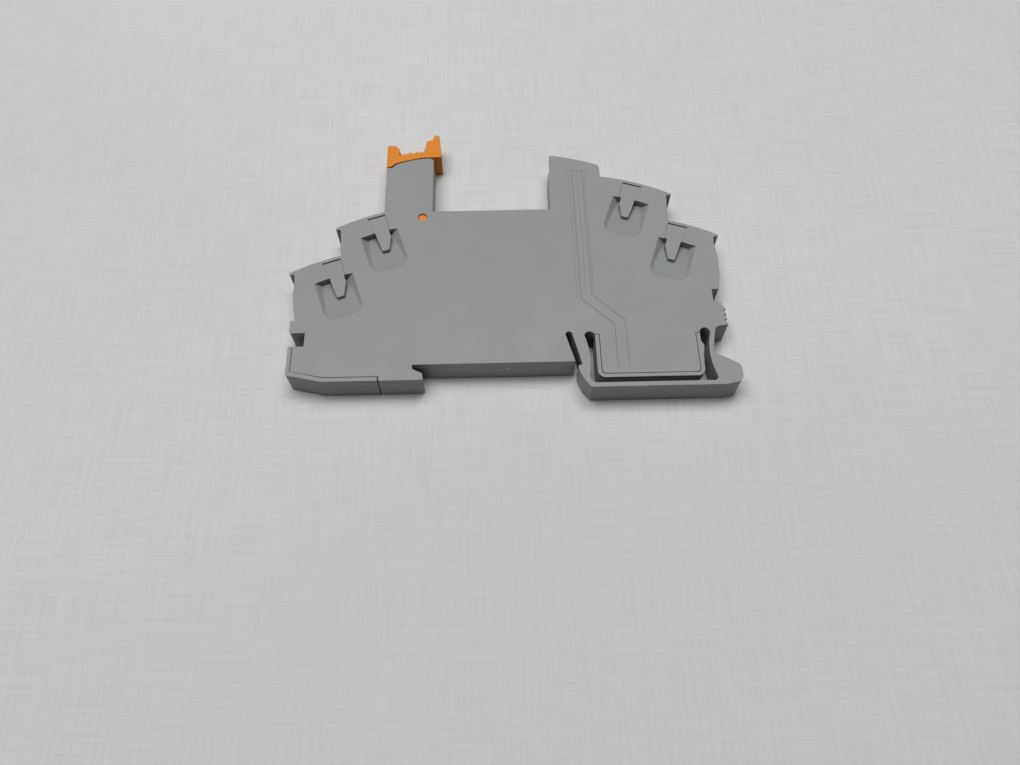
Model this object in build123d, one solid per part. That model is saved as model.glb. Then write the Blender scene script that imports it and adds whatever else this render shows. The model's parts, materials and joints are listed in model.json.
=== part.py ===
from build123d import *
import math
import os

# Slim relay base for a 35 mm mounting rail, lying on its side cover.
# X runs across the rail, Y away from it and Z through the module's width.
# The origin is the middle of the rail seat, on the face of the side cover.

# Module and moulding, in mm
module_width = 6.2
plate = 1.0
lid = 0.9
wall = 1.1
rim = 0.8
lap = 0.5
seam_gap = 0.13
peg_radius = 1.0

# Rail seat, hook and left foot
rail_width = 35.0
rail_play = 0.1
rail_thickness = 0.95
hook_reach = 2.1
hook_depth = 3.55
foot_out = 7.05
foot_rise = 4.85
foot_ramp = 7.4
foot_split = 7.0
notch_reach = 3.2
notch_height = 3.25

# Sprung latch foot and the slots round it
latch_depth = 5.95
latch_catch = 0.9
latch_shoulder = 0.65
latch_bar = 1.0
latch_lip = 4.2
arm_width = 1.7
arm_tip = 1.2
slot_lean = 1.7
thin_slot = 1.45
thin_slot_height = 7.2
wide_slot_height = 7.1
wide_gap = 1.3
end_gap = 2.15
tongue_out = 1.2
tongue_depth = 3.8
tongue_bend = 1.6
rim_height = 6.3

# Grip with its teeth, and the notch above it
grip_reach = 2.9
grip_low = 8.4
tooth_count = 4
tooth_pitch = 1.2
tooth_depth = 0.6
catch_low = 13.6
catch_high = 17.1
catch_reach = 2.3

# Relay bay, lever post and tower
bay_width = 26.8
bay_shift = -0.8
bay_floor = 39.7
post_width = 10.9
post_shelf = 52.65
post_opening = 41.5
tower_width = 12.0
tower_height = 55.8
tower_drop = 3.0
tower_face_high = 5.4
tower_lean = 0.4
overhang = 0.7

# Terminal steps, in a frame with U along the step and V out of it
tilt = 18.4
tier_shift = 9.2
tier_drop = 12.0
right_step_out = 7.35
right_step_up = 6.65
left_step_out = 2.05
left_step_up = -1.55
step_in = -8.2
step_out = 9.0
crown_height = 0.92
crown_radius = 50.0
lip_reach = 0.9
lip_depth = 0.65
riser_depth = 8.6
riser_lean = 0.244
bow_start = 2.8
block_in = -3.2
block_depth = 4.0
wire_u = 5.1
wire_radius = 1.45
funnel_radius = 2.1
funnel_depth = 1.5
tool_u = 0.7
tool_length = 2.6
tool_width = 3.2

# Sunk pocket with its finger on each terminal
pocket_shift = 0.35
pocket_in = -3.6
pocket_out = 4.9
pocket_top = -4.5
pocket_arch = 0.3
pocket_bottom = -14.7
pocket_round = 2.5
pocket_deep = 1.4
pocket_shallow = 0.3
pocket_slope = 1.4
pad = 0.68
pad_border = 0.7
finger_tip = -9.55
slit_in = -2.35
slit_out = 2.05
slit_width = 0.34
slit_depth = 1.4
line_width = 0.14
line_depth = 0.12

# Fine channel lines from the tower to the tongue
duct_width = 2.35
duct_side = 5.5
duct_shift = 6.6
duct_drop = 4.8
duct_bend = 15.3
duct_low = -1.7

# Retaining lever
pivot_in = 2.2
pivot_down = 1.6
pin_radius = 0.97
pin_play = 0.06
pin_sink = 0.35
hub_radius = 1.6
head_inset = 0.08
head_play = 0.3
arm_play = 0.3
valley_rib = 0.75

# Current path and electronics
leaf = 0.3
clamp_low = 11.0
clamp_out = 7.3
bar_gauge = 0.7
bar_u = 3.2
bar_low = 11.2
coil_bar_drop = 6.5
coil_bar_pitch = 4.0
coil_bar_run = 6.4
coil_bar_dip = 2.3
contact_bar_pitch = 8.0
contact_bar_run = 6.1
board_in = 4.0
board_drop = 13.0
board_rise = 4.8
board_arm_width = 4.2
board_thickness = 0.8
board_play = 0.05
strip_play = 0.15
fork_drop = 7.4
fork_height = 6.7
fork_slot = 1.3
coil_fork_in = 5.2
contact_fork_in = 4.6
fork_pitch = 5.0
pipe_width = 2.1
pipe_in = 5.45
window_play = 0.1

top = module_width
plate_low = top - plate
middle = (lid + plate_low) / 2
bay_left = bay_shift - bay_width / 2
bay_right = bay_left + bay_width
post_left = bay_left - post_width
tower_right = bay_right + tower_width
tower_opening = tower_height - tower_face_high
seat_left = -rail_width / 2 - rail_play
latch_x = rail_width / 2 - rail_play
foot_left = post_left - left_step_out - tier_shift - foot_out
split_x = seat_left - foot_split
tongue_left = latch_x + arm_width + wide_gap
tongue_right = tower_right + right_step_out + tier_shift + tongue_out
slot_right = tongue_right + end_gap
arm_right = slot_right + arm_tip
latch_tip = arm_right + latch_lip
grip_right = arm_right + grip_reach
pivot_x = bay_left - pivot_in
pivot_y = bay_floor - pivot_down
board_low = lid + board_play
board_high = board_low + board_thickness
board_left = post_left + board_in
strip_low = board_high + strip_play
strip_high = plate_low - pad - 0.2
fork_base = bay_floor - wall - fork_drop
pipe_x = bay_right + pipe_in + pipe_width / 2
LONG = 200.0


def arc(through, end):
    return ("arc", through, end)


def ring(*steps):
    """A closed face through points, where arc() bends one stretch."""
    edges = []
    here = steps[0]
    for step in steps[1:] + (steps[0],):
        if step[0] == "arc":
            edges.append(ThreePointArc(here, step[1], step[2]))
            here = step[2]
        elif step != here:
            edges.append(Line(here, step))
            here = step
    return make_face(edges)


def rectangle(x0, x1, y0, y1):
    return ring((x0, y0), (x1, y0), (x1, y1), (x0, y1))


def slab(face, low, high):
    return extrude(Pos(0, 0, low) * face, amount=high - low, dir=(0, 0, 1))


def block(x0, x1, y0, y1, z0, z1):
    centre = Pos((x0 + x1) / 2, (y0 + y1) / 2, (z0 + z1) / 2)
    return centre * Box(x1 - x0, y1 - y0, z1 - z0)


def upright(x, y, radius, low, high):
    return Pos(x, y, (low + high) / 2) * Cylinder(radius, high - low)


def inset(face, amount):
    """The face's outline moved inwards by a wall's thickness."""
    wire = face.faces()[0].outer_wire().offset_2d(-amount, Kind.TANGENT)
    return Sketch() + Face(wire.wires()[0])


def strip(points, gauge, radius, low=strip_low, high=strip_high):
    """Sheet metal on edge, bent along a path."""
    path = FilletPolyline(*points, radius=radius)
    return slab(trace(path, gauge), low, high)


def tier(side, level):
    """Where a terminal is: side -1 or 1, and level 0 is the upper one."""
    if side > 0:
        x, y = tower_right + right_step_out, bay_floor + right_step_up
    else:
        x, y = post_left - left_step_out, bay_floor + left_step_up
    return (x + side * level * tier_shift, y - level * tier_drop, side)


TERMINALS = {
    "coil_upper": tier(-1, 0),
    "coil_lower": tier(-1, 1),
    "contact_upper": tier(1, 0),
    "contact_lower": tier(1, 1),
}


def at(place, u, v):
    x, y, side = place
    lean = math.radians(tilt)
    across = u * math.cos(lean) + v * math.sin(lean)
    return (x + side * across, y - u * math.sin(lean) + v * math.cos(lean))


def crown(place, u):
    """A point of the step's gently arched top."""
    return at(place, u, crown_height - u ** 2 / (2 * crown_radius))


def local_ring(place, *steps):
    """A ring() in the terminal's own frame."""
    moved = []
    for step in steps:
        if step[0] == "arc":
            moved.append(arc(at(place, *step[1]), at(place, *step[2])))
        else:
            moved.append(at(place, *step))
    return ring(*moved)


def riser(place, depth):
    """A point of the leaning face under the step's lip."""
    return at(place, step_out - lip_reach + (depth - lip_depth) * riser_lean, -depth)


def step_face(place, lip=True):
    """One terminal step, with its arched top and the lip at its outer end."""
    end = step_out if lip else step_out - lip_reach
    tip = [
        at(place, step_out + 0.1, -0.15),
        at(place, step_out - 0.1, -0.4),
        riser(place, lip_depth),
    ]
    return ring(
        at(place, step_in, -riser_depth),
        crown(place, step_in),
        arc(crown(place, 0), crown(place, end)),
        *(tip if lip else []),
        riser(place, riser_depth),
    )


def core_face():
    """The body between the rail seat and the steps, with hook and foot."""
    nose = seat_left + hook_reach
    notch_top = foot_rise + notch_height
    left_bow = riser(TERMINALS["coil_lower"], bow_start)
    right_bow = riser(TERMINALS["contact_lower"], bow_start)
    under = {name: at(place, 0, -3.0) for name, place in TERMINALS.items()}
    teeth = []
    for tooth in reversed(range(tooth_count)):
        y = grip_low + tooth * tooth_pitch
        teeth.append((grip_right - tooth_depth, y + tooth_pitch * 0.75))
        teeth.append((grip_right, y))
    return ring(
        (seat_left, 0),
        (seat_left, -rail_thickness),
        (nose, -2.0),
        (nose + 0.15, -hook_depth + 0.4),
        arc((nose + 0.03, -hook_depth + 0.12), (nose - 0.25, -hook_depth)),
        (foot_left + foot_ramp, -hook_depth),
        (foot_left + 0.4, -1.95),
        (foot_left, -1.5),
        (foot_left, foot_rise),
        (foot_left + notch_reach, foot_rise),
        (foot_left + notch_reach, notch_top),
        (foot_left + 0.2, notch_top),
        (foot_left - 0.15, notch_top + 0.5),
        (foot_left - 0.1, notch_top + 3.0),
        (foot_left + 0.8, notch_top + 3.1),
        arc((foot_left, notch_top + 7.7), left_bow),
        under["coil_lower"],
        under["coil_upper"],
        (bay_left, bay_floor),
        (bay_right, bay_floor),
        under["contact_upper"],
        under["contact_lower"],
        right_bow,
        arc((grip_right + 0.1, catch_high + 5.4), (grip_right - 0.8, catch_high)),
        (grip_right - catch_reach, catch_high),
        (grip_right - catch_reach, catch_low),
        (grip_right - tooth_depth - 0.1, catch_low),
        *teeth,
        (grip_right, grip_low - 0.3),
        (grip_right - 2.3, grip_low - 0.6),
        (arm_right, grip_low - 1.2),
        (latch_x - thin_slot, grip_low - 1.2),
        (latch_x - thin_slot, 0),
    )


def tongue_face():
    """The part of the body that reaches down between the latch arms."""
    flat = tongue_bend * (1 - math.sqrt(0.5))
    low = -tongue_depth
    left = tongue_left
    right = tongue_right
    return ring(
        (left, grip_low),
        (left, low + tongue_bend),
        arc((left + flat, low + flat), (left + tongue_bend, low)),
        (right - tongue_bend, low),
        arc((right - flat, low + flat), (right, low + tongue_bend)),
        (right + 0.1, 0.5),
        (right + 0.5, 2.9),
        (right + 0.5, 3.4),
        (right, 4.3),
        (right, grip_low),
    )


def post_face():
    """The post that the lever swings in, its top arched about the pivot."""
    return ring(
        (post_left, bay_floor - 2),
        (post_left, post_shelf + 0.15),
        (post_left + 1.35, post_shelf + 0.3),
        (post_left + 2.1, post_shelf + 1.2),
        arc((post_left + 4.8, post_shelf + 2.2), (bay_left - 0.8, post_shelf + 2.95)),
        (bay_left, post_shelf + 2.4),
        (bay_left, bay_floor - 2),
    )


def tower_face():
    """The tower at the relay's other end."""
    left = bay_right + tower_lean
    return ring(
        (bay_right, bay_floor - 2),
        (bay_right, tower_opening),
        (left, tower_opening + 0.2),
        (left, tower_height - 0.4),
        (left + 0.4, tower_height),
        arc((left + 6.1, tower_height - 1.3), (tower_right - 0.6, tower_height - tower_drop)),
        (tower_right, tower_height - tower_drop - 0.7),
        (tower_right, bay_floor - 2),
    )


def body_face(lip=True):
    face = core_face() + tongue_face() + post_face() + tower_face()
    for place in TERMINALS.values():
        face += step_face(place, lip)
    return face


def overhang_face():
    """Where only the seen plate stands, beside the tower's head."""
    back = bay_right + tower_lean + overhang
    return rectangle(bay_right - 1, back, tower_opening, LONG)


def closed_face():
    """The outline that the walls and the lid follow."""
    return body_face(lip=False) - overhang_face()


def latch_face():
    """The sprung foot's outer form, before the slots free it."""
    low = -latch_depth
    left = latch_x
    right = latch_tip
    return ring(
        (left - thin_slot - slot_lean, grip_low),
        (left - thin_slot, 0),
        (left, -latch_shoulder),
        (left - latch_catch, -rail_thickness),
        (left - latch_catch + 0.1, -1.8),
        (left - 0.4, -3.0),
        (left + 0.2, -4.3),
        (left + 1.5, low),
        (right - 3.6, low),
        (right - 1.1, low + 0.5),
        arc((right - 0.3, low + 1.2), (right, low + 2.2)),
        (right, low + 3.6),
        arc((right - 0.2, low + 4.4), (right - 0.8, low + 4.95)),
        (right - 4.6, low + 7.15),
        arc((right - 5.1, low + 7.6), (right - 5.2, low + 8.2)),
        (arm_right, grip_low - 1.2),
        (arm_right, grip_low),
    )


def thin_slot_face():
    """The slot that frees the arm behind the rail's edge."""
    high = thin_slot_height - thin_slot / 2
    left = latch_x - thin_slot
    crest = (left + thin_slot / 2 - slot_lean, thin_slot_height)
    return ring(
        (left - slot_lean, high),
        (left, 0),
        (left, -1.2),
        (latch_x, -latch_shoulder),
        (latch_x - slot_lean, high),
        arc(crest, (left - slot_lean, high)),
    )


def wide_slot_face():
    """The gap all round the tongue, inside the sprung foot."""
    low = -latch_depth + latch_bar
    high = wide_slot_height - 0.9
    face = latch_x + arm_width
    left = face - 0.95
    right = slot_right
    outer = ring(
        (left, high),
        arc((face, 0.5), (face - 0.4, low + 1.7)),
        arc((face, low + 0.55), (face + 0.9, low)),
        (right - 0.9, low),
        arc((right + 0.05, low + 0.25), (right + 0.25, low + 1.0)),
        arc((right - 0.65, 0.8), (right, high)),
        arc(((right + tongue_right) / 2, wide_slot_height + 0.4), (tongue_right, high)),
        (tongue_right, high - 0.1),
        (tongue_left, high - 0.1),
        (tongue_left, high),
        arc(((left + tongue_left) / 2, wide_slot_height), (left, high)),
    )
    return outer - tongue_face()


def foot_rim_face(gap=0.0):
    """The cover's rim round the left foot; gap is the seam on its inside."""
    deep = rim + gap
    outside = core_face() & rectangle(foot_left - 5, split_x + 2 * gap, -LONG, foot_rise)
    inside = ring(
        (foot_left + deep - 0.1, LONG),
        (foot_left + deep, -1.0),
        (foot_left + foot_ramp - 0.4, deep - hook_depth + 0.25),
        (foot_left + foot_ramp + 0.8, deep - hook_depth + 0.1),
        (LONG, deep - hook_depth + 0.1),
        (LONG, LONG),
    )
    return outside - inside


def tongue_rim_face(gap=0.0):
    """The cover's rim round the tongue."""
    deep = rim + gap
    left = tongue_left + deep
    right = tongue_right - deep
    low = -tongue_depth + deep
    bend = tongue_bend - rim
    flat = bend * (1 - math.sqrt(0.5))
    inside = ring(
        (left, LONG),
        (left, low + bend),
        arc((left + flat, low + flat), (left + bend, low)),
        (right - bend, low),
        arc((right - flat, low + flat), (right, low + bend)),
        (right, LONG),
    )
    outside = tongue_face() & rectangle(-LONG, LONG, -LONG, rim_height + gap)
    return outside - inside


def block_face(place):
    """The solid moulding under a step that holds the two shafts."""
    return local_ring(
        place,
        (block_in, -block_depth),
        (block_in, 3.0),
        (step_out + 3.0, 3.0),
        (step_out + 3.0, -block_depth),
    )


def pocket_home(place):
    """The pocket's place: the left ones sit a little further in."""
    x, y = at(place, min(place[2], 0) * pocket_shift, 0)
    return (x, y, place[2])


def pocket_face(place, border=0.0):
    low = pocket_bottom - border
    left = pocket_in - border
    right = pocket_out + border
    bend = pocket_round
    flat = bend * (1 - math.sqrt(0.5))
    high = pocket_top + border
    return local_ring(
        place,
        (left, high),
        (left, low + bend),
        ("arc", (left + flat, low + flat), (left + bend, low)),
        (right - bend, low),
        ("arc", (right - flat, low + flat), (right, low + bend)),
        (right, high),
        ("arc", ((left + right) / 2, high + pocket_arch), (left, high)),
    )


def finger_face(place):
    """The flush finger that hangs into the pocket."""
    return local_ring(
        place,
        (-1.6, 0),
        (-1.65, pocket_top - 1.7),
        (-1.05, finger_tip + 1.9),
        (-0.5, finger_tip + 0.4),
        ("arc", (-0.35, finger_tip + 0.1), (-0.05, finger_tip)),
        (0.85, finger_tip),
        ("arc", (1.1, finger_tip + 0.1), (1.2, finger_tip + 0.4)),
        (1.45, pocket_top - 1.0),
        (1.5, 0),
    )


def shaft(place, u, v_low, v_high, radius, tip_radius):
    """A round shaft along V at the module's mid-width, as a cutter."""
    x, y = at(place, u, (v_low + v_high) / 2)
    lean = -place[2] * tilt
    along = Pos(x, y, middle) * Rot(0, 0, lean) * Rot(-90, 0, 0)
    length = v_high - v_low
    if tip_radius == radius:
        return along * Cylinder(radius, length)
    return along * Cone(radius, tip_radius, length)


def under_floor(home):
    """All that lies under the pocket's floor, which climbs to the outer end."""
    climb = math.atan((pocket_deep - pocket_shallow) / (pocket_top - pocket_bottom))
    turned = Rot(0, 0, -home[2] * tilt) * Rot(-math.degrees(climb), 0, 0)
    low = Pos(*at(home, 0, pocket_top), top - pocket_deep)
    return low * turned * Pos(0, 0, -LONG / 2) * Box(LONG, LONG, LONG)


def sunk_pocket(home):
    """The pocket's hollow round the finger, upright at its top, sloping elsewhere."""
    flank = math.degrees(math.atan(pocket_slope / pocket_deep))
    long_pocket = pocket_face(home) + local_ring(
        home,
        (pocket_in, pocket_top - 2),
        (pocket_in, pocket_top + 2 * pocket_slope),
        (pocket_out, pocket_top + 2 * pocket_slope),
        (pocket_out, pocket_top - 2),
    )
    face = Pos(0, 0, top) * long_pocket
    hollow = extrude(face, amount=pocket_deep, dir=(0, 0, -1), taper=flank)
    hollow &= slab(pocket_face(home), 0, top + 1)
    return hollow - slab(finger_face(home), 0, top + 1) - under_floor(home)


def cut_terminal(solid, place):
    """Wire funnel, tool shaft, pocket, finger and marks of one terminal."""
    mouth = crown_height - wire_u ** 2 / (2 * crown_radius)
    solid -= shaft(place, wire_u, -block_depth - 2, 3, wire_radius, wire_radius)
    solid -= shaft(
        place, wire_u, mouth - funnel_depth, mouth + 0.02, wire_radius, funnel_radius
    )
    tool = local_ring(
        place,
        (tool_u - tool_length / 2, -block_depth - 0.1),
        (tool_u - tool_length / 2, 3),
        (tool_u + tool_length / 2, 3),
        (tool_u + tool_length / 2, -block_depth - 0.1),
    )
    solid -= slab(tool, middle - tool_width / 2, middle + tool_width / 2)
    home = pocket_home(place)
    solid -= sunk_pocket(home)
    slit = ring(
        at(place, slit_in, -slit_width / 2),
        at(place, slit_in, slit_width / 2),
        at(home, slit_out, slit_width / 2),
        at(home, slit_out, -slit_width / 2),
    )
    solid -= slab(slit, top - slit_depth, top + 1)
    solid -= groove([at(place, slit_in, -0.1), at(place, slit_in + 0.1, -4.5)], line_depth)
    return solid - groove([at(home, slit_out - 0.1, -0.1), at(home, 1.75, -4.2)], line_depth / 4)


def groove(points, depth):
    """A fine line in the housing's face."""
    path = Polyline(*points)
    return slab(trace(path, line_width), top - depth, top + 1)


def duct_lines(solid):
    """Two fine lines from the tower's top to the tongue, and fainter ones beside."""
    left = bay_right + duct_side
    right = left + duct_width
    high = tower_height - duct_drop
    for x in (left, right):
        bend = duct_bend + 0.4 * (x - left)
        points = (
            (x, high),
            (x, bend),
            (x + duct_shift, bend - duct_shift),
            (x + duct_shift, duct_low),
        )
        solid -= groove(points, line_depth * 0.75)
    for x in (left - 0.8, (left + right) / 2, right + 0.55):
        solid -= groove([(x, high), (x, duct_bend + 1.0)], line_depth / 3)
    return solid - groove([(left - 0.8, high), (right + 0.55, high)], line_depth / 5)


def fork_places():
    coil = [bay_left + coil_fork_in + n * fork_pitch for n in range(2)]
    contact = [bay_right - contact_fork_in - n * fork_pitch for n in range(2)]
    return {
        "coil_fork_outer": coil[0],
        "coil_fork_inner": coil[1],
        "contact_fork_outer": contact[0],
        "contact_fork_inner": contact[1],
    }


def housing():
    """The moulded shell with the side that is seen, hook and latch foot."""
    body = body_face()
    outline = body + latch_face() - thin_slot_face() - wide_slot_face()
    solid = slab(outline, 0, top)
    stop_right = tongue_right - 0.1
    stop = block(stop_right - 1.0, stop_right, -latch_depth, -tongue_depth - 0.15, 0, top - plate)
    solid += stop

    closed = closed_face()
    solid -= slab(overhang_face(), -1, plate_low)
    cavity = inset(closed, wall)
    for place in TERMINALS.values():
        cavity -= block_face(place)
    solid -= slab(cavity, -1, plate_low)
    for place in TERMINALS.values():
        pocket_back = pocket_face(pocket_home(place), pad_border) & body
        solid += slab(pocket_back, plate_low - pad, plate_low)
    solid -= slab(inset(closed, lap), -1, lid)

    solid -= slab(foot_rim_face(seam_gap), -1, top + 1)
    solid -= slab(tongue_rim_face(seam_gap), -1, top + 1)
    behind = foot_rim_face(wall) & rectangle(-LONG, split_x, -LONG, foot_rise - wall)
    solid -= slab(behind, -1, plate_low)
    solid -= slab(tongue_rim_face(wall), -1, plate_low)

    inner_left = post_left + wall
    inner_right = bay_left - wall
    solid -= block(post_left - 1, inner_left, post_opening, LONG, -1, plate_low)
    solid -= block(post_left - 1, inner_right, post_shelf - 2, LONG, -1, plate_low)
    toe_slot = bay_left + 2.9
    solid -= block(inner_right, toe_slot, pivot_y + 0.2, bay_floor + 0.3, lid, plate_low)
    solid -= block(
        pipe_x - pipe_width / 2 - window_play,
        pipe_x + pipe_width / 2 + window_play,
        tower_height - tower_drop - wall - 1,
        tower_height,
        strip_low - window_play,
        strip_high + window_play,
    )
    for x in fork_places().values():
        solid -= block(
            x - fork_slot / 2, x + fork_slot / 2, bay_floor - wall - 1, bay_floor + 1, strip_low, strip_high
        )
    for place in TERMINALS.values():
        solid = cut_terminal(solid, place)
    solid -= upright(pivot_x, pivot_y, pin_radius + pin_play, plate_low - 1, top + 1)
    return duct_lines(solid)


def side_cover():
    """The lid on the resting side, with the rims that show in the seams."""
    face = inset(closed_face(), lap + seam_gap)
    face += post_face() & rectangle(-LONG, bay_left - wall, post_opening, LONG)
    solid = slab(face, 0, lid)
    solid += slab(foot_rim_face(), 0, top)
    solid += slab(tongue_rim_face(), 0, top)
    for x, y in ((seat_left - 8, 6.0), (seat_left + 12, 8.0), (tongue_right - 8, 8.0)):
        solid += upright(x, y, peg_radius, lid / 2, plate_low)
    return solid - upright(pivot_x, pivot_y, pin_radius + pin_play, -1, lid + 1)


def retaining_lever():
    """The lever that holds the relay down and lifts it out when swung."""
    left = post_left - 0.1
    right = bay_left + 1.8
    lift = post_shelf + head_play
    head = ring(
        (left, lift + 0.2),
        (left, post_shelf + 6.75),
        arc((left + 0.15, post_shelf + 7.05), (left + 0.5, post_shelf + 7.15)),
        (left + 1.7, post_shelf + 7.15),
        arc((left + 2.75, post_shelf + 6.1), (left + 3.1, post_shelf + 4.9)),
        (left + 2.75, post_shelf + 4.75),
        (left + 2.8, post_shelf + 4.35),
        *valley(left + 3.3, bay_left - 2.4),
        (bay_left - 1.95, post_shelf + 5.05),
        (bay_left - 2.3, post_shelf + 5.9),
        (bay_left - 1.95, post_shelf + 6.3),
        (bay_left - 1.9, post_shelf + 7.75),
        arc((bay_left - 1.65, post_shelf + 8.4), (bay_left - 1.1, post_shelf + 8.65)),
        (bay_left - 0.35, post_shelf + 8.8),
        (bay_left - 0.15, post_shelf + 9.8),
        arc((bay_left + 0.55, post_shelf + 10.3), (bay_left + 1.3, post_shelf + 9.6)),
        (right, post_shelf + 3.4),
        (bay_left - 2.2, post_shelf + 3.35),
        arc((post_left + 4.8, lift + 2.25), (post_left + 1.85, lift + 1.3)),
        (post_left + 1.2, lift + 0.55),
    )
    solid = slab(head, head_inset, top - head_inset)
    low = lid + arm_play
    high = plate_low - arm_play
    arm_right_x = bay_left - wall - arm_play
    arm = ring(
        (pivot_x - hub_radius * 0.97, pivot_y + 0.4),
        (pivot_x - 5.0, post_shelf + 3.2),
        (arm_right_x - 0.9, post_shelf + 4.0),
        (arm_right_x, post_shelf + 2.2),
        (arm_right_x, bay_floor + 0.6),
        (pivot_x + hub_radius * 0.6, pivot_y + 0.2),
    )
    toe = ring(
        (pivot_x, pivot_y - 1.2),
        (bay_left + 2.2, pivot_y - 0.7),
        (bay_left + 2.5, bay_floor - 0.4),
        (bay_left + 1.2, bay_floor - 0.3),
        (bay_left + 0.7, pivot_y + 0.5),
        (pivot_x, pivot_y + 0.6),
    )
    solid += slab(arm, low, high)
    solid += slab(toe, low, high)
    solid += upright(pivot_x, pivot_y, hub_radius, low, high)
    return solid + upright(pivot_x, pivot_y, pin_radius, pin_sink, top - pin_sink)


def valley(left, right):
    """The head's sloping valley between its blocks, with three small ribs."""
    slope = 0.12
    base = post_shelf + 4.35
    points = [(left, base)]
    for x, share in ((pivot_x - 3.5, 1.0), (pivot_x - 1.8, 1.0), (pivot_x - 0.75, 0.6)):
        y = base + (x - left) * slope
        points += [(x - 0.3, y), (x, y + valley_rib * share), (x + 0.25, y + 0.05)]
    return points + [(right, base + (right - left) * slope)]


def clamp_spring(place):
    """Leaf spring that presses the wire against its bar."""
    foot = bar_u + (bar_gauge + leaf) / 2
    high = -block_depth - 0.5 - leaf
    points = (
        (foot, 0.4 - clamp_low),
        (clamp_out - 0.2, -clamp_low),
        (clamp_out, high - 0.8),
        (clamp_out - 1.2, high),
        (foot + 0.1, 2.4 - clamp_low),
    )
    return strip([at(place, u, v) for u, v in points], leaf, 0.45)


def bar(place, *route):
    """Bus bar from beside the wire to the contact or the board."""
    start = [at(place, bar_u, -block_depth - 0.2), at(place, bar_u, -bar_low)]
    return strip(start + list(route), bar_gauge, 0.6)


def bars(forks):
    """The coil's bars end over the board, the contact's under their forks."""
    pad_x = board_left + 3.2
    high = fork_base - coil_bar_drop
    low = high - coil_bar_pitch
    upper = TERMINALS["coil_upper"]
    lower = TERMINALS["coil_lower"]
    bend = at(lower, bar_u, -bar_low)
    under = fork_base - (bar_gauge + leaf) / 2
    deep = under - contact_bar_pitch
    outer = forks["contact_fork_outer"]
    inner = forks["contact_fork_inner"]
    right = TERMINALS["contact_lower"]
    return {
        "coil_upper_bar": bar(upper, (board_left - 1.8, high), (pad_x, high)),
        "coil_lower_bar": bar(
            lower, (lower[0] + coil_bar_run, bend[1] - coil_bar_dip), (pad_x, low)
        ),
        "contact_upper_bar": bar(
            TERMINALS["contact_upper"], (tower_right + 0.4, under), (outer - 1.2, under)
        ),
        "contact_lower_bar": bar(
            right, (right[0] - contact_bar_run, deep), (inner + 1, deep), (inner, under)
        ),
    }


def fork(x):
    """Spring fork that grips one relay pin."""
    high = fork_base + fork_height
    left = (
        (x - 1.15, high),
        (x - 0.5, high - 1.6),
        (x - 0.95, high - 4.2),
        (x - 0.95, fork_base),
    )
    right = [(2 * x - px, py) for px, py in reversed(left)]
    return strip(list(left) + right, leaf, 0.35)


def circuit_board():
    step = fork_places()["coil_fork_inner"] + fork_pitch / 2
    high = fork_base + board_rise
    wide = rectangle(board_left, step, fork_base - board_drop, high)
    arm = rectangle(step - 1, pipe_x + pipe_width, high - board_arm_width, high)
    return slab(wide + arm, board_low, board_high)


def leaded(x, y, radius, length, waist):
    """A small part on two bent leads, standing on the board."""
    z = board_high + radius + 0.1
    end = length / 2
    neck = end - length * 0.28
    shape = ring(
        (-end, 0),
        (-end, radius),
        (-neck, radius),
        (-neck, radius * waist),
        (neck, radius * waist),
        (neck, radius),
        (end, radius),
        (end, 0),
    )
    solid = Pos(x, y, z) * revolve(shape, Axis.X)
    reach = end + 0.7
    for way in (-1, 1):
        lead = Pos(x + way * reach / 2, y, z) * Rot(0, 90, 0)
        solid += lead * Cylinder(0.2, reach)
        solid += upright(x + way * reach, y, 0.25, board_high, z + 0.25)
    return solid


def indicator_led():
    half = pipe_width / 2
    y = fork_base + 1.6
    solid = block(pipe_x - half, pipe_x + half, y, y + 1.5, board_high, strip_high)
    dome = Pos(pipe_x, y + 1.5, (board_high + strip_high) / 2) * Rot(-90, 0, 0)
    return solid + dome * Cone(0.85, 0.45, 0.6, align=(Align.CENTER, Align.CENTER, Align.MIN))


def light_pipe():
    half = pipe_width / 2
    high = tower_height - 1.4
    face = ring(
        (pipe_x - half, fork_base + 4.0),
        (pipe_x + half, fork_base + 4.0),
        (pipe_x + half, tower_height - tower_drop - wall - 1.0),
        (pipe_x + half + 0.5, tower_height - tower_drop - wall - 0.8),
        (pipe_x + half + 0.5, tower_height - tower_drop - wall - 0.4),
        (pipe_x + half, tower_height - tower_drop - wall - 0.3),
        (pipe_x + half, high - 0.25),
        (pipe_x - half, high + 0.2),
        (pipe_x - half, tower_height - tower_drop - wall - 0.3),
        (pipe_x - half - 0.5, tower_height - tower_drop - wall - 0.4),
        (pipe_x - half - 0.5, tower_height - tower_drop - wall - 0.8),
        (pipe_x - half, tower_height - tower_drop - wall - 1.0),
    )
    return slab(face, strip_low, strip_high)


def parts():
    forks = fork_places()
    made = {
        "housing": housing(),
        "side_cover": side_cover(),
        "retaining_lever": retaining_lever(),
    }
    for name, place in TERMINALS.items():
        made[name + "_clamp_spring"] = clamp_spring(place)
    made.update(bars(forks))
    for name, x in forks.items():
        made[name] = fork(x)
    made["circuit_board"] = circuit_board()
    made["diode"] = leaded(forks["coil_fork_outer"] - 5.5, fork_base + 3.0, 0.85, 3.0, 1.0)
    made["resistor"] = leaded(forks["coil_fork_outer"] + 1.0, fork_base - 9.5, 0.8, 3.4, 0.82)
    made["indicator_led"] = indicator_led()
    made["light_pipe"] = light_pipe()
    return made


os.makedirs("parts", exist_ok=True)
for node, solid in parts().items():
    export_step(solid, "parts/" + node + ".step")
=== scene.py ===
import json
import math

import bmesh
import bpy
from mathutils import Matrix, Vector


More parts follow.
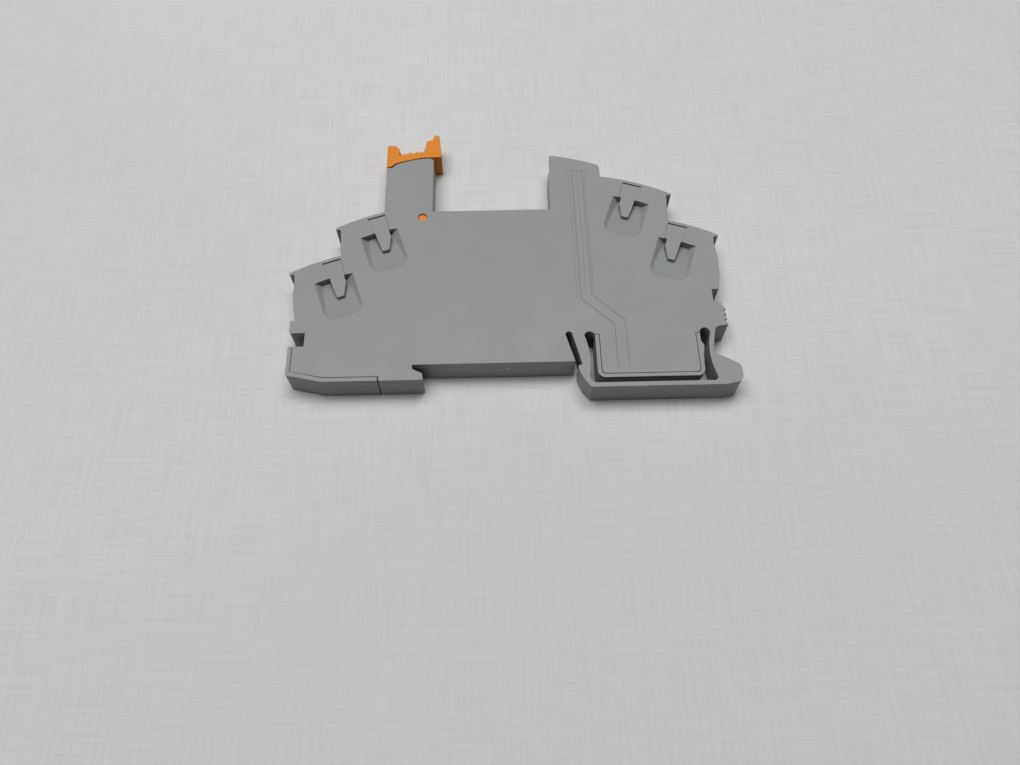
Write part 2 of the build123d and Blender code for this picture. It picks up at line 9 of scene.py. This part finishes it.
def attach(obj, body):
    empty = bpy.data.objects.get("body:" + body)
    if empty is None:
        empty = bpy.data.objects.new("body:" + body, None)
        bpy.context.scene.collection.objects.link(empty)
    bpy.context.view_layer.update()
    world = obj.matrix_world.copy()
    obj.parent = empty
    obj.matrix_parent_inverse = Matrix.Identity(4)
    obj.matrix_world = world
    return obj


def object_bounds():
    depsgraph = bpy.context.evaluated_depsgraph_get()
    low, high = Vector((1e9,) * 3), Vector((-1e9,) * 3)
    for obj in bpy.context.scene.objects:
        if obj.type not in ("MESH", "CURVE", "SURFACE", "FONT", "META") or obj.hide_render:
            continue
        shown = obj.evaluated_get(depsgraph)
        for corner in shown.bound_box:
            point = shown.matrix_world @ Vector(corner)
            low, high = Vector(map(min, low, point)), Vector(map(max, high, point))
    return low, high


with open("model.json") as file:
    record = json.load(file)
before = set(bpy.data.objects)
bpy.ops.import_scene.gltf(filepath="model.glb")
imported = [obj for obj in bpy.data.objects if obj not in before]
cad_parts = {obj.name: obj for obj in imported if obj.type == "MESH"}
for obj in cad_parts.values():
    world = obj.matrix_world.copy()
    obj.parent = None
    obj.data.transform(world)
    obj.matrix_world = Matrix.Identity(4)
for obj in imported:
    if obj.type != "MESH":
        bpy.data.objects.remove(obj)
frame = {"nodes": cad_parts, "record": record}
cadBox = [list(corner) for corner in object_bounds()]  # lowest and highest corner, in metres
sideFace = cadBox[1][2]  # height of the side face that looks up
print("frame loaded:", len(frame["nodes"]), "nodes")

mm = 0.001  # sizes below are in metres, so one in millimetres is written times mm


# helpers for the materials
def newMaterial(name):
    material = bpy.data.materials.new(name)
    material.use_nodes = True
    tree = material.node_tree
    shader = tree.nodes["Principled BSDF"]
    return material, tree, shader


def addNode(tree, kind, **values):
    node = tree.nodes.new(kind)
    for key, value in values.items():
        setattr(node, key, value)
    return node


def objectNoise(tree, scale, detail=3.0, roughness=0.55, stretch=(1, 1, 1)):
    coords = addNode(tree, "ShaderNodeTexCoord")
    mapping = addNode(tree, "ShaderNodeMapping")
    mapping.inputs["Scale"].default_value = stretch
    noise = addNode(tree, "ShaderNodeTexNoise")
    noise.inputs["Scale"].default_value = scale
    noise.inputs["Detail"].default_value = detail
    noise.inputs["Roughness"].default_value = roughness
    tree.links.new(coords.outputs["Object"], mapping.inputs["Vector"])
    tree.links.new(mapping.outputs["Vector"], noise.inputs["Vector"])
    return noise


# noise lies mostly between 0.35 and 0.65, so that is the range it is read from
def remap(tree, source, low, high, start=0.35, stop=0.65):
    ramp = addNode(tree, "ShaderNodeMapRange")
    ramp.inputs["From Min"].default_value = start
    ramp.inputs["From Max"].default_value = stop
    ramp.inputs["To Min"].default_value = low
    ramp.inputs["To Max"].default_value = high
    tree.links.new(source, ramp.inputs["Value"])
    return ramp.outputs["Result"]


# a colour is three numbers or a socket, the factor always a socket
def mixColour(tree, factor, first, second):
    mix = addNode(tree, "ShaderNodeMix", data_type="RGBA")
    tree.links.new(factor, mix.inputs[0])
    for socket, colour in ((mix.inputs[6], first), (mix.inputs[7], second)):
        if isinstance(colour, bpy.types.NodeSocket):
            tree.links.new(colour, socket)
        else:
            socket.default_value = (*colour, 1.0)
    return mix.outputs[2]


# rounds the shading of sharp edges, radius is a length or a socket
def edgeNormal(tree, radius, samples=6):
    bevel = addNode(tree, "ShaderNodeBevel", samples=samples)
    if isinstance(radius, bpy.types.NodeSocket):
        tree.links.new(radius, bevel.inputs["Radius"])
    else:
        bevel.inputs["Radius"].default_value = radius
    return bevel.outputs["Normal"]


def product(tree, first, second):
    both = addNode(tree, "ShaderNodeMath", operation="MULTIPLY")
    tree.links.new(first, both.inputs[0])
    tree.links.new(second, both.inputs[1])
    return both.outputs[0]


def objectHeight(tree):
    coords = addNode(tree, "ShaderNodeTexCoord")
    place = addNode(tree, "ShaderNodeSeparateXYZ")
    tree.links.new(coords.outputs["Object"], place.inputs[0])
    return place.outputs["Z"]


# painted shade: rises from 0 in the open to 1 deep in slots, seams and corners, where the colour is
# darkened as shade would fall
def occlusionShadeMask(tree, reach, openness, samples=8):
    shelter = addNode(tree, "ShaderNodeAmbientOcclusion", samples=samples, only_local=True)
    shelter.inputs["Distance"].default_value = reach
    return remap(tree, shelter.outputs["AO"], 1.0, 0.0, *openness)


# 1 on surfaces that look up but lie below the side face, as in the tool pockets, and 0 elsewhere
def sunkenMask(tree, depth, tilt, blend):
    coords = addNode(tree, "ShaderNodeTexCoord")
    facing = addNode(tree, "ShaderNodeSeparateXYZ")
    tree.links.new(coords.outputs["Normal"], facing.inputs[0])
    below = remap(tree, objectHeight(tree), 1.0, 0.0, sideFace - depth, sideFace - depth / 2)
    level = remap(tree, facing.outputs["Z"], 0.0, 1.0, tilt - blend, tilt)
    return product(tree, below, level)


# bump on top of another normal, if one is given
def bumpOver(tree, height, strength, distance, normal=None):
    bump = addNode(tree, "ShaderNodeBump")
    bump.inputs["Strength"].default_value = strength
    bump.inputs["Distance"].default_value = distance
    tree.links.new(height, bump.inputs["Height"])
    if normal is not None:
        tree.links.new(normal, bump.inputs["Normal"])
    return bump.outputs["Normal"]


# moulded plastic of the housing, its cover and the lever
housingPlastic = {
    "colour": (0.258, 0.269, 0.264),
    "pale": (0.272, 0.282, 0.276),
    "dark": (0.244, 0.256, 0.254),
    "roughness": (0.46, 0.56),
    "edgeRadius": 0.14 * mm,
    "grain": 5200.0,
    "grainDepth": 0.008 * mm,
    "patch": 45.0,
    "specular": 0.28,
    "pocketShade": (0.238, 0.250, 0.249),  # painted shade on the floors of the tool pockets
    "sunkenDepth": 0.2 * mm,
    "sunkenRadius": 0.90 * mm,
    "sunkenFloor": 0.98,  # upward part of the normal on a floor, and on a slope
    "sunkenSlope": 0.55,
    "sunkenBlend": 0.02,
    # painted shade, the near-black colour that deep slots, seams and corners are darkened to
    "creviceShadeColour": (0.018, 0.019, 0.019),
    "creviceReach": 3.6 * mm,
    "creviceOpenness": (0.36, 0.86),
    "creviceTop": (2.2 * mm, 0.9 * mm),  # full below the first depth, none above the second
}
leverPlastic = {
    "colour": (0.670, 0.218, 0.012),
    "pale": (0.700, 0.245, 0.020),
    "dark": (0.615, 0.182, 0.008),
    "roughness": (0.42, 0.52),
    "edgeRadius": 0.12 * mm,
    "grain": 4200.0,
    "grainDepth": 0.006 * mm,
    "patch": 180.0,
    "specular": 0.30,
    # painted shade, the dark orange that the lever's seams and corners are darkened to
    "creviceShadeColour": (0.220, 0.050, 0.004),
    "creviceReach": 1.0 * mm,
    "creviceOpenness": (0.10, 0.72),
}
# what every moulded plastic here shares
mouldedFinish = {
    "patchStretch": (1.0, 0.55, 1.0),
    "patchShare": 0.55,  # how far a patch goes to the dark colour, and a speck to the pale one
    "speckShare": 0.30,
    "speckRange": (0.5, 0.75),
    "speckScale": 0.35,  # times the scale of the grain
    "wornScale": 3.1,  # times the scale of the patches
    "grainStrength": 0.35,
}


def mouldedPlastic(name, look):
    finish = mouldedFinish
    material, tree, shader = newMaterial(name)
    patches = objectNoise(tree, look["patch"], detail=4.0, roughness=0.6, stretch=finish["patchStretch"])
    specks = objectNoise(tree, look["grain"] * finish["speckScale"], detail=2.0, roughness=0.5)
    darkened = remap(tree, patches.outputs["Fac"], 0.0, finish["patchShare"])
    colour = mixColour(tree, darkened, look["colour"], look["dark"])
    paled = remap(tree, specks.outputs["Fac"], 0.0, finish["speckShare"], *finish["speckRange"])
    colour = mixColour(tree, paled, colour, look["pale"])
    radius = look["edgeRadius"]
    if "pocketShade" in look:  # painted shade: the pocket floors are drawn a little darker, and the slopes round them get softer shading
        pocketFloorShade = sunkenMask(tree, look["sunkenDepth"], look["sunkenFloor"], look["sunkenBlend"])
        colour = mixColour(tree, pocketFloorShade, colour, look["pocketShade"])
        slopes = sunkenMask(tree, look["sunkenDepth"], look["sunkenSlope"], look["sunkenBlend"])
        radius = remap(tree, slopes, radius, look["sunkenRadius"], 0.0, 1.0)
    # painted shade: slots, seams and corners are darkened by ambient occlusion towards the crevice shade
    # colour
    creviceShadeFactor = occlusionShadeMask(tree, look["creviceReach"], look["creviceOpenness"])
    if "creviceTop" in look:  # painted shade: the shallow pockets keep their colour, the deep slots are darkened as if in shade
        low, high = (sideFace - depth for depth in look["creviceTop"])
        creviceShadeFactor = product(tree, creviceShadeFactor, remap(tree, objectHeight(tree), 1.0, 0.0, low, high))
    colour = mixColour(tree, creviceShadeFactor, colour, look["creviceShadeColour"])
    tree.links.new(colour, shader.inputs["Base Color"])
    worn = objectNoise(tree, look["patch"] * finish["wornScale"], detail=5.0, roughness=0.65)
    tree.links.new(remap(tree, worn.outputs["Fac"], *look["roughness"]), shader.inputs["Roughness"])
    shader.inputs["Specular IOR Level"].default_value = look["specular"]
    grain = objectNoise(tree, look["grain"], detail=2.0, roughness=0.6)
    normal = edgeNormal(tree, radius)
    normal = bumpOver(tree, grain.outputs["Fac"], finish["grainStrength"], look["grainDepth"], normal)
    tree.links.new(normal, shader.inputs["Normal"])
    return material


# metals of the clamps, bars and forks
metals = {
    "springSteel": {"colour": (0.60, 0.60, 0.58), "roughness": (0.18, 0.32), "stretch": (1, 1, 14)},
    "tinnedCopper": {"colour": (0.66, 0.64, 0.60), "roughness": (0.28, 0.42), "stretch": (1, 1, 6)},
    "contactBrass": {"colour": (0.72, 0.46, 0.18), "roughness": (0.22, 0.36), "stretch": (1, 1, 10)},
}
# shade is how much of its colour a dark streak keeps
rolledFinish = {"streaks": 900.0, "shade": 0.78, "strength": 0.2, "depth": 0.01 * mm}


def rolledMetal(name, look):
    material, tree, shader = newMaterial(name)
    streaks = objectNoise(
        tree, rolledFinish["streaks"], detail=3.0, roughness=0.6, stretch=look["stretch"]
    )
    darker = tuple(rolledFinish["shade"] * value for value in look["colour"])
    colour = mixColour(tree, remap(tree, streaks.outputs["Fac"], 0.0, 1.0), look["colour"], darker)
    tree.links.new(colour, shader.inputs["Base Color"])
    tree.links.new(remap(tree, streaks.outputs["Fac"], *look["roughness"]), shader.inputs["Roughness"])
    shader.inputs["Metallic"].default_value = 1.0
    normal = bumpOver(tree, streaks.outputs["Fac"], rolledFinish["strength"], rolledFinish["depth"])
    tree.links.new(normal, shader.inputs["Normal"])
    return material


# board, the parts on it and the light pipe
inside = {
    "boardLacquer": {
        "colour": (0.018, 0.120, 0.045), "dark": (0.010, 0.070, 0.028), "roughness": 0.34, "clear": 0.0
    },
    "diodeBody": {
        "colour": (0.022, 0.022, 0.024), "dark": (0.012, 0.012, 0.014), "roughness": 0.30, "clear": 0.0
    },
    "resistorLacquer": {
        "colour": (0.520, 0.350, 0.180), "dark": (0.420, 0.270, 0.130), "roughness": 0.38, "clear": 0.0
    },
    "ledResin": {
        "colour": (0.420, 0.560, 0.240), "dark": (0.360, 0.500, 0.200), "roughness": 0.16, "clear": 0.5
    },
    "lightGuide": {
        "colour": (0.820, 0.850, 0.830), "dark": (0.740, 0.780, 0.760), "roughness": 0.12, "clear": 0.7
    },
}
insideFinish = {
    "mottle": 700.0,
    "strength": 0.15,
    "depth": 0.01 * mm,
    "edgeRadius": 0.08 * mm,
    "edgeSamples": 4,
}


def insidePlastic(name, look):
    material, tree, shader = newMaterial(name)
    mottle = objectNoise(tree, insideFinish["mottle"], detail=3.0, roughness=0.6)
    factor = remap(tree, mottle.outputs["Fac"], 0.0, 1.0)
    tree.links.new(mixColour(tree, factor, look["colour"], look["dark"]), shader.inputs["Base Color"])
    shader.inputs["Roughness"].default_value = look["roughness"]
    shader.inputs["Transmission Weight"].default_value = look["clear"]
    normal = edgeNormal(tree, insideFinish["edgeRadius"], insideFinish["edgeSamples"])
    strength, depth = insideFinish["strength"], insideFinish["depth"]
    normal = bumpOver(tree, mottle.outputs["Fac"], strength, depth, normal)
    tree.links.new(normal, shader.inputs["Normal"])
    return material


materials = {
    "housing_plastic": mouldedPlastic("housingGrey", housingPlastic),
    "lever_plastic": mouldedPlastic("leverOrange", leverPlastic),
    "spring_steel": rolledMetal("springSteel", metals["springSteel"]),
    "tinned_copper": rolledMetal("tinnedCopper", metals["tinnedCopper"]),
    "contact_brass": rolledMetal("contactBrass", metals["contactBrass"]),
    "board_laminate": insidePlastic("boardLacquer", inside["boardLacquer"]),
    "diode_glass": insidePlastic("diodeBody", inside["diodeBody"]),
    "resistor_lacquer": insidePlastic("resistorLacquer", inside["resistorLacquer"]),
    "led_resin": insidePlastic("ledResin", inside["ledResin"]),
    "clear_resin": insidePlastic("lightGuide", inside["lightGuide"]),
}
slotOf = {part["node"]: part["material_slot"] for part in frame["record"]["subparts"]}
for nodeName, nodeObject in frame["nodes"].items():
    nodeObject.data.materials.clear()
    nodeObject.data.materials.append(materials[slotOf[nodeName]])
print("materials on the CAD nodes")

# low round marks that the mould's ejector pins leave on the web over the rail
ejectorMarks = {
    "places": (-11.5 * mm, 2.0 * mm, 12.5 * mm),
    "wallY": 0.0,
    "height": 3.7 * mm,
    "radius": 0.42 * mm,
    "crown": 0.30 * mm,
    "proud": 0.10 * mm,
    "sunk": 0.05 * mm,
    "segments": 24,
}
# the marks are drawn paler than the wall round them, a painted highlight where light catches the raised
# marks
markHighlightLook = dict(
    housingPlastic, colour=(0.420, 0.430, 0.424), pale=(0.450, 0.460, 0.452), dark=(0.380, 0.390, 0.386)
)
markHighlightFinish = mouldedPlastic("ejectorHighlight", markHighlightLook)


def makeEjectorMark(name, along, look):
    depth = look["proud"] + look["sunk"]
    bm = bmesh.new()
    bmesh.ops.create_cone(
        bm, cap_ends=True, segments=look["segments"],
        radius1=look["radius"], radius2=look["crown"], depth=depth
    )
    bmesh.ops.rotate(bm, verts=bm.verts, matrix=Matrix.Rotation(math.radians(90), 3, "X"))
    centre = (along, look["wallY"] + depth / 2 - look["proud"], look["height"])
    bmesh.ops.translate(bm, verts=bm.verts, vec=centre)
    bmesh.ops.recalc_face_normals(bm, faces=bm.faces)
    mesh = bpy.data.meshes.new(name)
    bm.to_mesh(mesh)
    bm.free()
    mark = bpy.data.objects.new(name, mesh)
    bpy.context.collection.objects.link(mark)
    mesh.materials.append(markHighlightFinish)
    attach(mark, "base")


for markNumber, markPlace in enumerate(ejectorMarks["places"], start=1):
    makeEjectorMark(f"ejector_mark_{markNumber}", markPlace, ejectorMarks)
print("ejector marks on the rail web")


# strength lights the object, seen is what the camera, gloss and glass see
surroundings = {"colour": (0.98, 0.99, 1.0), "strength": 0.03, "seen": 0.80}
floorLook = {
    "size": 3.0,
    "gap": 0.02 * mm,  # how far the sheet lies under the part
    "colour": (0.632, 0.633, 0.636),
    "shade": (0.588, 0.592, 0.599),
    "thread": (0.525, 0.528, 0.536),
    "softScale": 6.0,
    "weave": 1500.0,
    "threadStretch": 0.05,
    "threadShare": 0.5,
    "threadRange": (0.85, 1.25),
    "weaveStrength": 0.25,
    "weaveDepth": 0.10 * mm,
    "roughness": 0.8,
    "specular": 0.2,
    "fade": (0.22, 0.75),  # metres from the middle where the backdrop starts and is full
}


# far from the object the camera sees the floor run into the backdrop
def fadeToBackdrop(tree, shader, distances):
    coords = addNode(tree, "ShaderNodeTexCoord")
    away = addNode(tree, "ShaderNodeVectorMath", operation="LENGTH")
    tree.links.new(coords.outputs["Object"], away.inputs[0])
    far = remap(tree, away.outputs["Value"], 0.0, 1.0, *distances)
    rays = addNode(tree, "ShaderNodeLightPath")
    share = product(tree, far, rays.outputs["Is Camera Ray"])
    glow = addNode(tree, "ShaderNodeEmission")
    glow.inputs["Color"].default_value = (*surroundings["colour"], 1.0)
    glow.inputs["Strength"].default_value = surroundings["seen"]
    mix = addNode(tree, "ShaderNodeMixShader")
    tree.links.new(share, mix.inputs[0])
    tree.links.new(shader.outputs[0], mix.inputs[1])
    tree.links.new(glow.outputs[0], mix.inputs[2])
    tree.links.new(mix.outputs[0], tree.nodes["Material Output"].inputs["Surface"])


def makeFloor(look):
    mesh = bpy.data.meshes.new("floor")
    bm = bmesh.new()
    bmesh.ops.create_grid(bm, x_segments=1, y_segments=1, size=look["size"] / 2)
    bmesh.ops.translate(bm, verts=bm.verts, vec=(0, 0, cadBox[0][2] - look["gap"]))
    bm.to_mesh(mesh)
    bm.free()
    floor = bpy.data.objects.new("floor", mesh)
    bpy.context.collection.objects.link(floor)
    material, tree, shader = newMaterial("floorSheet")
    soft = objectNoise(tree, look["softScale"], detail=3.0, roughness=0.5)
    lengthways = (1.0, look["threadStretch"], 1.0)
    crossways = (look["threadStretch"], 1.0, 1.0)
    along = objectNoise(tree, look["weave"], detail=2.0, roughness=0.5, stretch=lengthways)
    across = objectNoise(tree, look["weave"], detail=2.0, roughness=0.5, stretch=crossways)
    weave = addNode(tree, "ShaderNodeMath", operation="ADD")
    tree.links.new(along.outputs["Fac"], weave.inputs[0])
    tree.links.new(across.outputs["Fac"], weave.inputs[1])
    factor = remap(tree, soft.outputs["Fac"], 0.0, 1.0)
    colour = mixColour(tree, factor, look["colour"], look["shade"])
    threads = remap(tree, weave.outputs[0], 0.0, look["threadShare"], *look["threadRange"])
    tree.links.new(mixColour(tree, threads, colour, look["thread"]), shader.inputs["Base Color"])
    shader.inputs["Roughness"].default_value = look["roughness"]
    shader.inputs["Specular IOR Level"].default_value = look["specular"]
    normal = bumpOver(tree, weave.outputs[0], look["weaveStrength"], look["weaveDepth"])
    tree.links.new(normal, shader.inputs["Normal"])
    fadeToBackdrop(tree, shader, look["fade"])
    mesh.materials.append(material)


makeFloor(floorLook)

cameraView = {
    "place": (0.55 * mm, -82.0 * mm, 153.7 * mm),
    "downDegrees": 62.3,
    "turnDegrees": -1.358,
    "lens": 29.05,
    "sensorWidth": 36.0,  # lens and sensor in the camera's own millimetres
    "clip": (0.005, 20.0),  # nearest and farthest metres that it sees
}


def makeCamera(view):
    data = bpy.data.cameras.new("camera")
    data.lens = view["lens"]
    data.sensor_width = view["sensorWidth"]
    data.clip_start, data.clip_end = view["clip"]
    camera = bpy.data.objects.new("camera", data)
    camera.location = view["place"]
    camera.rotation_euler = (math.radians(90 - view["downDegrees"]), 0, math.radians(view["turnDegrees"]))
    bpy.context.collection.objects.link(camera)
    bpy.context.scene.camera = camera


makeCamera(cameraView)

lamps = {
    "keyPanel": {
        "place": (-0.08, 0.205, 0.90), "aim": (0.0, 0.02, 0.0), "size": (1.00, 0.45),
        "power": 9.6, "colour": (1.0, 0.998, 0.992)
    },
}


def makeLamp(name, look):
    data = bpy.data.lights.new(name, "AREA")
    data.shape = "RECTANGLE"
    data.size, data.size_y = look["size"]
    data.energy = look["power"]
    data.color = look["colour"]
    lamp = bpy.data.objects.new(name, data)
    lamp.location = look["place"]
    towards = Vector(look["aim"]) - Vector(look["place"])
    lamp.rotation_euler = towards.to_track_quat("-Z", "Y").to_euler()
    bpy.context.collection.objects.link(lamp)


for lampName, lampLook in lamps.items():
    makeLamp(lampName, lampLook)


def makeWorld(look):
    world = bpy.data.worlds.new("studio")
    bpy.context.scene.world = world
    world.use_nodes = True
    tree = world.node_tree
    backdrop = tree.nodes["Background"]
    backdrop.inputs["Color"].default_value = (*look["colour"], 1.0)
    rays = addNode(tree, "ShaderNodeLightPath")
    seen = rays.outputs["Is Camera Ray"]
    for kind in ("Is Glossy Ray", "Is Transmission Ray"):
        either = addNode(tree, "ShaderNodeMath", operation="MAXIMUM")
        tree.links.new(seen, either.inputs[0])
        tree.links.new(rays.outputs[kind], either.inputs[1])
        seen = either.outputs[0]
    strength = remap(tree, seen, look["strength"], look["seen"], 0.0, 1.0)
    tree.links.new(strength, backdrop.inputs["Strength"])


makeWorld(surroundings)
bpy.context.scene.view_settings.view_transform = "Standard"
print("floor, camera and lamps")
